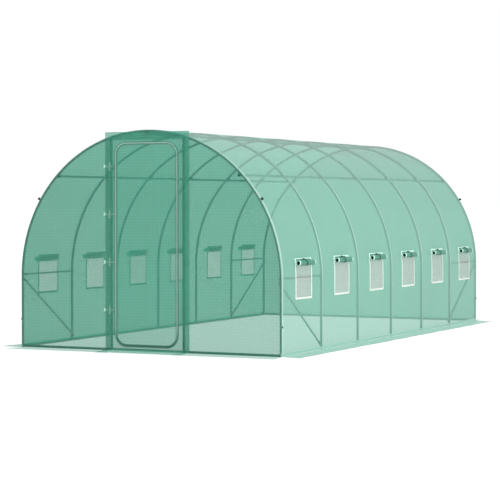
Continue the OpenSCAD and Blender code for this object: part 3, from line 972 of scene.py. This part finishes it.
def tape_finish(name):
    """Woven tape: fine ribs across it, and a soft mottle."""
    material, tree, shader = new_material(name)
    cut, across = flat_cut(tree)
    both_ways = reckon(tree, "MULTIPLY", *[ribs(tree, across[way], tape_rib_pitch) for way in (0, 1)])
    rib = between(tree, both_ways, *tape_rib_range)
    cloud = mottle(tree, cut, tape_cloud_per_metre, detail=4.0)
    woven = blend_colours(tree, add_up(tree, rib, tape_rib_share, cloud), tape_shade, tape_white)
    doubled = add_node(tree, "ShaderNodeAttribute", attribute_name="doubled").outputs["Fac"]
    feed(tree, shader, {
        # The tape's head takes the pale mint: painted light from above.
        "Base Color": blend_colours(tree, doubled, woven, head_painted_light_mint),
        "Roughness": between(tree, cloud, *tape_roughness),
        "Normal": dent(tree, rib, *tape_grain),
    })
    let_light_through(tree, shader, 1.0, tape_white, tape_scatter)
    return material


def thicken(piece, thickness):
    """Gives a sheet its thickness, half to each side."""
    choose(piece)
    wall = piece.modifiers.new("thickness", "SOLIDIFY")
    wall.thickness = thickness
    wall.offset = 0
    bpy.ops.object.modifier_apply(modifier=wall.name)


def tape_lift_at(down):
    """The head of the tape stands further out than its sides, over the end of the flap."""
    rise = min(max((head_cut + head_step - abs(down)) / head_step, 0), 1)
    return tape_lift + (head_lift - tape_lift) * rise


tape = tape_finish("white_woven_tape")
for side, side_name, count, middle in windows:
    window_tape = cut_sheet(f"{side_name}_window_tape_{count}", (tape_head_cut, -tape_half),
                            (tape_sill_cut, tape_half), tape_cells)
    slit(window_tape, (head_cut, head_cut + head_step, sill_cut), (-window_half, window_half))
    drop_faces(window_tape, lambda point: head_cut < point.x < sill_cut and abs(point.y) < window_half)
    mark_hems(window_tape, lambda point: point.x < head_cut)
    if side < 0:
        window_tape.data.transform(half_turn)
    hang(window_tape, lambda down, off: on_cover(down, middle + off, tape_lift_at(down)))
    thicken(window_tape, tape_thickness)
    fit_out(window_tape, tape)
    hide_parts("window_tapes")


# Rolled flaps
# Each window has a flap of cover film sewn under the head of its tape. It is rolled up outwards in three
# loose turns, so the hollow spiral shows at both ends.
flap_greens = ((0.012, 0.140, 0.090, 1), (0.034, 0.215, 0.148, 1))
# The flap's side hems are painted pale mint: partly the hems, partly a painted highlight for the light the
# roll's ends catch.
flap_hem_highlight_mint = (0.56, 0.86, 0.74, 1)
flap_gloss = 0.3
flap_side_hem = 0.018
flap_thickness = 0.0010
flap_lift = 0.0022
roll_low, roll_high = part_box("window_rolls")
roll_radius = 0.028
roll_turns = 3
roll_pitch = 0.0029
roll_half = (roll_high.y - roll_low.y - (bay_count - 1) * bay) / 2
roll_axis_out = roll_high.x - roll_radius
roll_axis_up = roll_low.z + roll_radius
flap_top = roll_high.z
tail_steps = 6
tail_pull = 0.0012
steps_a_turn = 30
roll_cells = 20
loose = 0.0008
loose_waves = (9.0, 6.0)
uneven_end = 0.004
end_waves = (7.0, 1.0)
side_seed = 10.0
cut_slip = 1e-6


def roll_line():
    """Points of a right flap's section, from its sewn edge down the wall and round the roll."""
    points = []
    for step in range(tail_steps):
        height = flap_top + (roll_axis_up - flap_top) * step / tail_steps
        seat = on_cover(from_ridge(height), hoop_places[0], flap_lift)
        pull = (step / tail_steps) ** 2 * tail_pull
        points.append((seat.x + pull, height))
    for step in range(roll_turns * steps_a_turn + 1):
        turn = step / steps_a_turn
        radius = roll_radius - roll_pitch * turn
        angle = math.pi + 2 * math.pi * turn
        points.append((roll_axis_out + radius * math.cos(angle), roll_axis_up + radius * math.sin(angle)))
    return points


section = roll_line()
section_ways = [0.0]
for first, second in zip(section, section[1:]):
    section_ways.append(section_ways[-1] + math.dist(first, second))
flap_cut = section_ways[-1]
section_cells = len(section) - 1


def roll_up(down, off, side, seed):
    """Takes a point of a flat flap, by its way down from the sewn edge, to the roll."""
    index = min(max(sum(way <= down + cut_slip for way in section_ways) - 1, 0), section_cells - 1)
    share = (down - section_ways[index]) / (section_ways[index + 1] - section_ways[index])
    first, second = section[index], section[index + 1]
    out = first[0] + (second[0] - first[0]) * share
    up = first[1] + (second[1] - first[1]) * share
    rolled = min(max((index - tail_steps) / steps_a_turn, 0), 1)
    slack = loose * rolled * unevenness(down, off, loose_waves, seed)
    away = Vector((out - roll_axis_out, up - roll_axis_up))
    away = away.normalized() * slack if away.length > 0 else away
    creep = uneven_end * rolled * unevenness(down, seed, end_waves, seed=3.0) * (2 * off)
    return Vector((side * (out + away.x), off + creep, up + away.y))


flap_film = film_finish("rolled_grid_film", flap_greens, 1.0, 1.0, flap_hem_highlight_mint, sheen=0.0,
                        gloss=flap_gloss)
for side, side_name, count, middle in windows:
    flap = cut_sheet(f"{side_name}_window_flap_{count}", (0, -roll_half), (flap_cut, roll_half),
                     (section_cells, roll_cells))
    for vertex in flap.data.vertices:
        column = min(round(vertex.co.x / flap_cut * section_cells), section_cells)
        vertex.co.x = section_ways[column]
    seed = count + side_seed * side
    slit(flap, along=(flap_side_hem - roll_half, roll_half - flap_side_hem))
    mark_hems(flap, lambda point: abs(point.y) > roll_half - flap_side_hem)
    hang(flap, lambda down, off: roll_up(down, off, side, seed) + Vector((0, middle, 0)))
    thicken(flap, flap_thickness)
    edit(flap, "FACE")
    close()
    fit_out(flap, flap_film)
    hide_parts("window_rolls")


# Roll ties
# A dark webbing strap goes slantwise round the middle of each roll and holds it up. Its ends are tied in a
# small bow on top of the roll, close to the wall.
strap_dark = (0.003, 0.010, 0.009, 1)
strap_pale = (0.010, 0.024, 0.021, 1)
strap_roughness = (0.6, 0.8)
strap_grain = (0.4, 0.0005)
strap_rib_scale = 260.0
strap_rib_bend = 1.0
strap_width = 0.017
strap_thickness = 0.0016
strap_radius = roll_radius + 0.0022
strap_from = math.radians(118)
strap_to = math.radians(-150)
strap_cells = (30, 2)
strap_top_off = -0.050
strap_low_off = 0.022
bow_ring = {"major_radius": 0.008, "minor_radius": 0.0022, "major_segments": 14, "minor_segments": 6}
bow_loops = (((0.7, 1.3, 1.5), (0, -0.010, 0)), ((0.7, 1.1, 1.5), (0, 0.009, 0.001)))
bow_smooth = math.radians(50)
bow_knot_facets = 10
bow_knot_radius = 0.0058
bow_knot_height = 0.009
bow_knot_bevel = 0.0016
bow_knot_shape = (1, 0.8, 1)
bow_scale = (1.35, 1.35, 1.35)
bow_angle = math.radians(100)
bow_up = 0.008


def webbing_finish(name):
    """Woven strap: slanting ribs and a dull dark green."""
    material, tree, shader = new_material(name)
    place = add_node(tree, "ShaderNodeTexCoord").outputs["Object"]
    feeds = {"Vector": place, "Scale": strap_rib_scale, "Distortion": strap_rib_bend}
    rib = add_node(tree, "ShaderNodeTexWave", feeds, bands_direction="DIAGONAL").outputs["Fac"]
    feed(tree, shader, {
        "Base Color": blend_colours(tree, rib, strap_dark, strap_pale),
        "Roughness": between(tree, rib, *strap_roughness),
        "Normal": dent(tree, rib, *strap_grain),
    })
    return material


def wind_strap(turned, off, side):
    """Takes a point of a flat strap round the roll."""
    share = (turned - strap_from) / (strap_to - strap_from)
    lean = strap_top_off + (strap_low_off - strap_top_off) * share
    out = roll_axis_out + strap_radius * math.cos(turned)
    up = roll_axis_up + strap_radius * math.sin(turned)
    return Vector((side * out, off + lean, up))


def model_bow():
    """A small bow: two flat loops with a wrapped knot between them."""
    bpy.ops.object.select_all(action="DESELECT")
    for shape, place in bow_loops:
        bpy.ops.mesh.primitive_torus_add(**bow_ring)
        bpy.ops.object.mode_set(mode="EDIT")
        bpy.ops.mesh.select_mode(type="FACE")
        bpy.ops.transform.resize(value=shape)
        bpy.ops.transform.translate(value=place)
        bpy.ops.mesh.select_all(action="DESELECT")
    knot = {"vertices": bow_knot_facets, "radius": bow_knot_radius, "depth": bow_knot_height}
    bpy.ops.mesh.primitive_cylinder_add(**knot)
    bpy.ops.mesh.bevel(offset=bow_knot_bevel, segments=2)
    bpy.ops.transform.resize(value=bow_knot_shape)
    bpy.ops.mesh.select_all(action="SELECT")
    bpy.ops.transform.resize(value=bow_scale)
    close(bow_smooth)
    return bpy.context.object


webbing = webbing_finish("dark_webbing")
bow_model = model_bow()
for side, side_name, count, middle in windows:
    tie = cut_sheet(f"{side_name}_roll_tie_{count}", (strap_to, -strap_width / 2),
                    (strap_from, strap_width / 2), strap_cells)
    hang(tie, lambda turned, off: wind_strap(turned, off, side) + Vector((0, middle, 0)))
    thicken(tie, strap_thickness)
    bow_seat = wind_strap(bow_angle, 0, side) + Vector((0, middle, bow_up))
    bow = set_in_rows(bow_model, "bow", [(bow_seat, (0, 0, 1))])
    choose(tie)
    bow.select_set(True)
    bpy.ops.object.join()
    edit(tie, "FACE")
    close()
    fit_out(tie, webbing)
    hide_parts("roll_ties")
bpy.data.objects.remove(bow_model)


# Cover fasteners
# Black moulded plastic knobs clamp the cover to the end hoops at shoulder height, small plastic-headed
# screws hold it to the end legs, and domed plugs of the same plastic close the ends of the purlins.
plastic_black = (0.004, 0.010, 0.009, 1)
plastic_worn = (0.012, 0.022, 0.019, 1)
plastic_gloss = 0.2
plastic_roughness = (0.6, 0.8)
plastic_grain = (0.2, 0.0003)
plastic_grain_per_metre = 900.0
plastic_wear_per_metre = 60.0
fastener_gap = 0.0003
knob_angle = math.radians(32)
knob_facets = 24
knob_radius = 0.0145
knob_stem = 0.007
knob_stem_inset = 0.42 * knob_radius
knob_head = 0.011
knob_crown = (0.30 * knob_radius, 0.0028)
knob_top = (0.35 * knob_radius, 0.0012)
knob_rim = 0.9 * knob_radius
flute_inset = 0.04 * knob_radius
flute_area = 0.2 * knob_radius * knob_head
flute_shape = (0.86, 0.86, 1)
facets_a_flute = 3
knob_smooth = math.radians(30)
leg_screw_height = 0.293
leg_screw_facets = 20
leg_screw_radius = 0.0080
leg_screw_head = 0.0042
leg_screw_crown = (0.30 * leg_screw_radius, 0.3 * leg_screw_head)
leg_screw_recess = (0.35 * leg_screw_radius, -0.3 * leg_screw_head)
leg_screw_smooth = math.radians(35)
plug_facets = 24
plug_radius = 0.0132
plug_length = 0.014
plug_flange = 0.0012
plug_crown = (0.25 * plug_radius, 0.4 * plug_flange)
plug_top = (0.35 * plug_radius, 0.2 * plug_flange)
plug_smooth = math.radians(35)


def plastic_finish(name):
    """Moulded plastic with a fine spark-eroded grain."""
    material, tree, shader = new_material(name)
    place = add_node(tree, "ShaderNodeTexCoord").outputs["Object"]
    grain = mottle(tree, place, plastic_grain_per_metre, detail=2.0)
    wear = mottle(tree, place, plastic_wear_per_metre, detail=4.0)
    feed(tree, shader, {
        "Base Color": blend_colours(tree, wear, plastic_black, plastic_worn),
        "Roughness": between(tree, wear, *plastic_roughness),
        "Specular IOR Level": plastic_gloss,
        "Normal": dent(tree, grain, *plastic_grain),
    })
    return material


def looks_down(face):
    """Says whether a face is level and looks down."""
    return face.normal.z < -level_limit


def on_rim(face):
    """Says whether a face is part of a knob's rim."""
    return math.hypot(face.center.x, face.center.y) > knob_rim


def in_flute(face):
    """Says whether a face is the middle of every third facet of a knob's rim."""
    facet = round(math.atan2(face.center.y, face.center.x) / (2 * math.pi / knob_facets) - 0.5)
    return on_rim(face) and face.area < flute_area and facet % facets_a_flute == 0


def model_knob():
    """One clamping knob: a stem, a head with flutes to grip and a domed top, on the origin along +Z."""
    knob = start_round(knob_facets, knob_radius, knob_head, knob_stem)
    pick_faces(knob, looks_up)
    step_in(*knob_crown)
    step_in(*knob_top)
    pick_faces(knob, looks_down)
    bpy.ops.mesh.inset(thickness=knob_stem_inset)
    bpy.ops.mesh.extrude_region_move(TRANSFORM_OT_translate={"value": (0, 0, -knob_stem)})
    pick_faces(knob, on_rim)
    bpy.ops.mesh.inset(thickness=flute_inset, use_individual=True)
    pick_faces(knob, in_flute)
    bpy.ops.transform.resize(value=flute_shape)
    close(knob_smooth)
    return knob


def model_plug():
    """One cap for a tube end: a sleeve over the tube and a domed face, standing on the origin along +Z."""
    plug = start_round(plug_facets, plug_radius, plug_length, plug_flange - plug_length)
    pick_faces(plug, looks_down)
    bpy.ops.mesh.delete(type="FACE")
    pick_faces(plug, looks_up)
    step_in(*plug_crown)
    step_in(*plug_top)
    close(plug_smooth)
    return plug


black_plastic = plastic_finish("black_moulded_plastic")
knob_model = model_knob()
leg_screw_model = model_screw(leg_screw_facets, leg_screw_radius, leg_screw_head, leg_screw_crown,
                              leg_screw_recess, leg_screw_smooth)
plug_model = model_plug()
knob_seats = []
leg_screw_seats = []
for along in (hoop_places[0], hoop_places[-1]):
    for angle in (knob_angle, math.pi - knob_angle):
        outwards = Vector((math.cos(angle), 0, math.sin(angle)))
        knob_seats.append((on_arch(half_width + fastener_gap, angle, along), outwards))
    for side in (-1, 1):
        seat = (side * (half_width + fastener_gap), along, leg_screw_height)
        leg_screw_seats.append((seat, (side, 0, 0)))
plug_seats = []
for purlin in purlin_names:
    low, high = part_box(purlin)
    middle = (low + high) / 2
    plug_seats.append(((middle.x, low.y, middle.z), (0, -1, 0)))
    plug_seats.append(((middle.x, high.y, middle.z), (0, 1, 0)))
knobs = set_in_rows(knob_model, "cover_knobs", knob_seats)
leg_screws = set_in_rows(leg_screw_model, "leg_screws", leg_screw_seats)
purlin_plugs = set_in_rows(plug_model, "purlin_plugs", plug_seats)
for fasteners in (knobs, leg_screws, purlin_plugs):
    fit_out(fasteners, black_plastic)
for fasteners in (knobs, leg_screws):
    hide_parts("cover_fasteners")
for model in (knob_model, leg_screw_model, plug_model):
    bpy.data.objects.remove(model)


# Hinges and door frame
# The door is a ring of bent galvanised tube. Four strap hinges of the same steel join it to the left post,
# and each is held by a screw at the end of its fixed strap. The hinges and their screws are painted a pale
# mint: painted highlight, so that they show brightly through the door sheet.
# The door frame's zinc is painted much paler than the hoops': painted highlight, a lit copy of the same
# galvanised steel.
door_zinc_dark = (0.42, 0.44, 0.44, 1)
door_zinc_pale = (0.60, 0.62, 0.61, 1)
door_roughness = (0.15, 0.25)
# Pale mint hinge colours: painted highlight, brighter than bare zinc so the hinges show through the sheet.
hinge_painted_mint = (0.50, 0.78, 0.66, 1)
hinge_painted_pale_mint = (0.62, 0.90, 0.78, 1)
hinge_roughness = (0.30, 0.45)
hinge_metal = 0.15
leaf_low, leaf_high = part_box("hinge_leaves")
hinge = frame["joints"][0]["pos_m"]
hinge_count = 4
barrel_half = 0.047
hinge_low = leaf_low.z + barrel_half
hinge_high = leaf_high.z - barrel_half
hinge_step = (hinge_high - hinge_low) / (hinge_count - 1)
strap_end_in = 0.013
strap_face = 0.006
finish_node("door_frame", zinc_finish("bright_door_zinc", door_zinc_dark, door_zinc_pale, door_roughness))
hinge_zinc = zinc_finish("hinge_zinc_painted_pale", hinge_painted_mint, hinge_painted_pale_mint, hinge_roughness, hinge_metal)
finish_node("hinge_leaves", hinge_zinc)
hinge_screw_seats = []
for count in range(hinge_count):
    seat = (leaf_low.x + strap_end_in, hinge[1] + strap_face, hinge_low + hinge_step * count)
    hinge_screw_seats.append((seat, (0, -1, 0)))
hinge_screws = set_in_rows(screw_model, "hinge_screws", hinge_screw_seats)
fit_out(hinge_screws, hinge_zinc)
bpy.data.objects.remove(screw_model)


# Door sheet
# A large sheet of doubled film hangs in front of the door frame and laps over the doorway on all sides.
# Its left edge is fixed to the panel beyond the hinges, and its foot turns out over the ground as a flap,
# with a fixed tongue under its hinge end.
door_greens = ((0.011, 0.235, 0.154, 1), (0.030, 0.310, 0.212, 1))
door_density = 0.67
door_hem_density = 0.85
door_bold = 2.2
door_sheen = 0.2
door_cells = (120, 300)
strip_low, strip_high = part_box("hinge_side_strip")
sheet_low, sheet_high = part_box("door_sheet")
flap_low, flap_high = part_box("door_ground_flap")
strip_plane = (strip_low.y + strip_high.y) / 2
sheet_plane = (sheet_low.y + sheet_high.y) / 2
flap_plane = (flap_low.z + flap_high.z) / 2
step_from = strip_high.x - 0.010
step_to = hinge[0] - 0.007
sheet_height = sheet_high.z - flap_plane
sheet_span = sheet_high.x - sheet_low.x
sheet_hem = 0.012
sheet_slack = 0.0030
slack_from = hinge[0]
slack_full = hinge[0] + 0.12
slack_rise = 5
door_waves = (3.1, 0.55)
flap_extra = 0.05
flap_front = flap_low.y - flap_extra
flap_length = sheet_plane - flap_front
flap_flare = flap_high.x - sheet_high.x
flap_taper = math.radians(23)
flap_draw_in = flap_length * math.tan(flap_taper)
flap_ripple = 0.002
flap_ripple_rise = 4
flap_waves = (6.0, 8.0)
fold_radius = 0.012
frame_low, frame_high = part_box("door_frame")
ring_half_width = frame_high.x - tube_radius
ring_half_height = (frame_high.z - frame_low.z) / 2 - tube_radius
ring_middle = (frame_high.z + frame_low.z) / 2
ring_bend = 0.12
drape_depth = 0.008
drape_width = 0.020
drape_rise = 20
outer_drape = 0.5
# Widths and places of the painted lines on the door sheet: painted highlight along the frame's front and on
# the hinges, painted shade at the frame's sides and on the bottom rail.
front_line = (0.0035, 0.0070)
side_line = (0.002, 0.006)
rail_line = (0.009, 0.014)
low_rail_height = (0.10, 0.22)
barrel_width = (0.006, 0.011)
barrel_height = (0.040, 0.047)
barrel_highlight_share = 0.55
strap_length = (0.055, 0.065)
strap_height = (0.007, 0.011)
strap_highlight_share = 0.30
marks_top = (hinge_high + 0.10, hinge_high + 0.11)


def smooth_step(value, start, stop):
    """Goes smoothly from 0 at start to 1 at stop."""
    share = min(max((value - start) / (stop - start), 0), 1)
    return share * share * (3 - 2 * share)


def off_frame(across, height):
    """How far a point of the sheet is outside the frame's middle line, less than 0 inside it."""
    beside = abs(across) - ring_half_width + ring_bend
    beyond = abs(height - ring_middle) - ring_half_height + ring_bend
    return math.hypot(max(beside, 0), max(beyond, 0)) + min(max(beside, beyond), 0) - ring_bend


def frame_painted_light_and_shade(tree, across):
    """Painted light over the door frame: a painted highlight along its front, painted shade at each side.

    The bottom rail is painted all dark as shade, and painted highlights show the hinges' barrels and
    straps.
    """
    def apart(first, second):
        """How far two places are apart, either way."""
        return reckon(tree, "ABSOLUTE", reckon(tree, "SUBTRACT", first, second))

    def both(first, second):
        """The share in which two marks meet."""
        return reckon(tree, "MULTIPLY", first, second)

    beside = reckon(tree, "SUBTRACT", reckon(tree, "ABSOLUTE", across[0]), ring_half_width - ring_bend)
    off_middle = apart(across[1], ring_middle - flap_plane)
    beyond = reckon(tree, "SUBTRACT", off_middle, ring_half_height - ring_bend)
    squares = [reckon(tree, "POWER", reckon(tree, "MAXIMUM", way, 0.0), 2.0) for way in (beside, beyond)]
    round_bend = reckon(tree, "SQRT", reckon(tree, "ADD", *squares))
    along_side = reckon(tree, "MINIMUM", reckon(tree, "MAXIMUM", beside, beyond), 0.0)
    off_tube = apart(reckon(tree, "ADD", round_bend, along_side), ring_bend)

    low_rail = fade_out(tree, across[1], *low_rail_height)
    above_rail = reckon(tree, "SUBTRACT", 1.0, low_rail)
    over_rail = both(fade_out(tree, off_tube, *rail_line), low_rail)
    front = both(fade_out(tree, off_tube, *front_line), above_rail)
    sides = fade_out(tree, apart(off_tube, tube_radius), *side_line)

    off_axis = apart(across[0], hinge[0])
    off_lowest = reckon(tree, "SUBTRACT", across[1], hinge_low - flap_plane)
    off_hinge = reckon(tree, "PINGPONG", off_lowest, hinge_step / 2)
    barrel = both(fade_out(tree, off_axis, *barrel_width), fade_out(tree, off_hinge, *barrel_height))
    strap = both(fade_out(tree, off_axis, *strap_length), fade_out(tree, off_hinge, *strap_height))
    marks = reckon(tree, "MAXIMUM", both(barrel, barrel_highlight_share), both(strap, strap_highlight_share))
    above_fold = reckon(tree, "GREATER_THAN", across[1], 0.0)
    marks = both(marks, both(fade_out(tree, across[1], *marks_top), above_fold))
    return reckon(tree, "MAXIMUM", front, marks), reckon(tree, "MAXIMUM", over_rail, sides)


def hang_door_sheet(across, up):
    """A point of the door sheet: up is from the ground fold, and below 0 it is out along the flap."""
    if up < 0:
        out = -up / flap_length
        wave = max(unevenness(across, up, flap_waves, seed=1.0), 0)
        lift = flap_ripple * wave * min(out * flap_ripple_rise, 1)
        return Vector((across, sheet_plane + up, flap_plane + lift))
    height = flap_plane + up
    stand_off = strip_plane + (sheet_plane - strip_plane) * smooth_step(across, step_from, step_to)
    free = smooth_step(across, slack_from, slack_full)
    ripple = 0.5 + 0.5 * unevenness(across, height, door_waves, seed=5.0)
    stand_off -= sheet_slack * free * ripple * min(up * slack_rise, 1)
    outside = off_frame(across, height)
    drape = drape_depth * (1 - math.exp(-((outside / drape_width) ** 2)))
    if outside > 0:
        drape *= outer_drape * smooth_step(across, -ring_half_width, 0)
    stand_off += drape * min(up * drape_rise, 1)
    fold = max(1 - up / fold_radius, 0)
    return Vector((across, stand_off - fold_radius / 2 * fold * fold, height))


def in_sheet_hem(point):
    """Says whether a point of the flat door sheet lies in its hem."""
    return point.x > sheet_high.x - sheet_hem and point.y > 0 or point.y > sheet_height - sheet_hem


# The door sheet's film carries painted highlights and painted shade over its frame and hinges.
door_film = film_finish("doubled_grid_film", door_greens, door_density, door_hem_density, bold=door_bold,
                        sheen=door_sheen, painted_lines=frame_painted_light_and_shade)
door_sheet = cut_sheet("door_sheet_film", (strip_low.x, -flap_length), (sheet_high.x, sheet_height),
                       door_cells)
slit(door_sheet, (step_from, step_to, sheet_low.x, sheet_high.x - sheet_hem),
     (0, fold_radius / 3, fold_radius, sheet_height - sheet_hem))
drop_faces(door_sheet, lambda point: point.y < 0 and point.x < sheet_low.x)
for vertex in door_sheet.data.vertices:
    if vertex.co.y < 0:
        out = -vertex.co.y / flap_length
        share = (vertex.co.x - sheet_low.x) / sheet_span
        wide = sheet_span + (flap_flare - flap_draw_in) * out
        vertex.co.x = sheet_low.x + flap_draw_in * out + share * wide
mark_hems(door_sheet, in_sheet_hem)
hang(door_sheet, hang_door_sheet)
door_sheet.data.materials.append(door_film)
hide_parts("hinge_side_strip", "door_sheet", "door_ground_flap")
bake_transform(door_sheet)

tongue_height = 0.0045
tongue_lean = (0.025, 0.16)
tongue_cells = (12, 14)
tongue_left = strip_low.x
tongue_root = strip_high.x - tongue_left
tongue_length = strip_plane - flap_front
tongue_width = tongue_root + tongue_lean[1]
tongue = cut_sheet("strip_tongue_film", (tongue_left, flap_front),
                   (tongue_left + tongue_width, strip_plane), tongue_cells)
for vertex in tongue.data.vertices:
    out = (strip_plane - vertex.co.y) / tongue_length
    share = (vertex.co.x - tongue_left) / tongue_width
    left = tongue_left + tongue_lean[0] * out
    right = strip_high.x + tongue_lean[1] * out
    vertex.co.x = left + share * (right - left)
mark_hems(tongue, lambda point: False)
hang(tongue, lambda x, y: Vector((x, y, tongue_height)))
fit_out(tongue, door_film)


# Last update
# The view layer is brought up to date at the end.
bpy.context.view_layer.update()
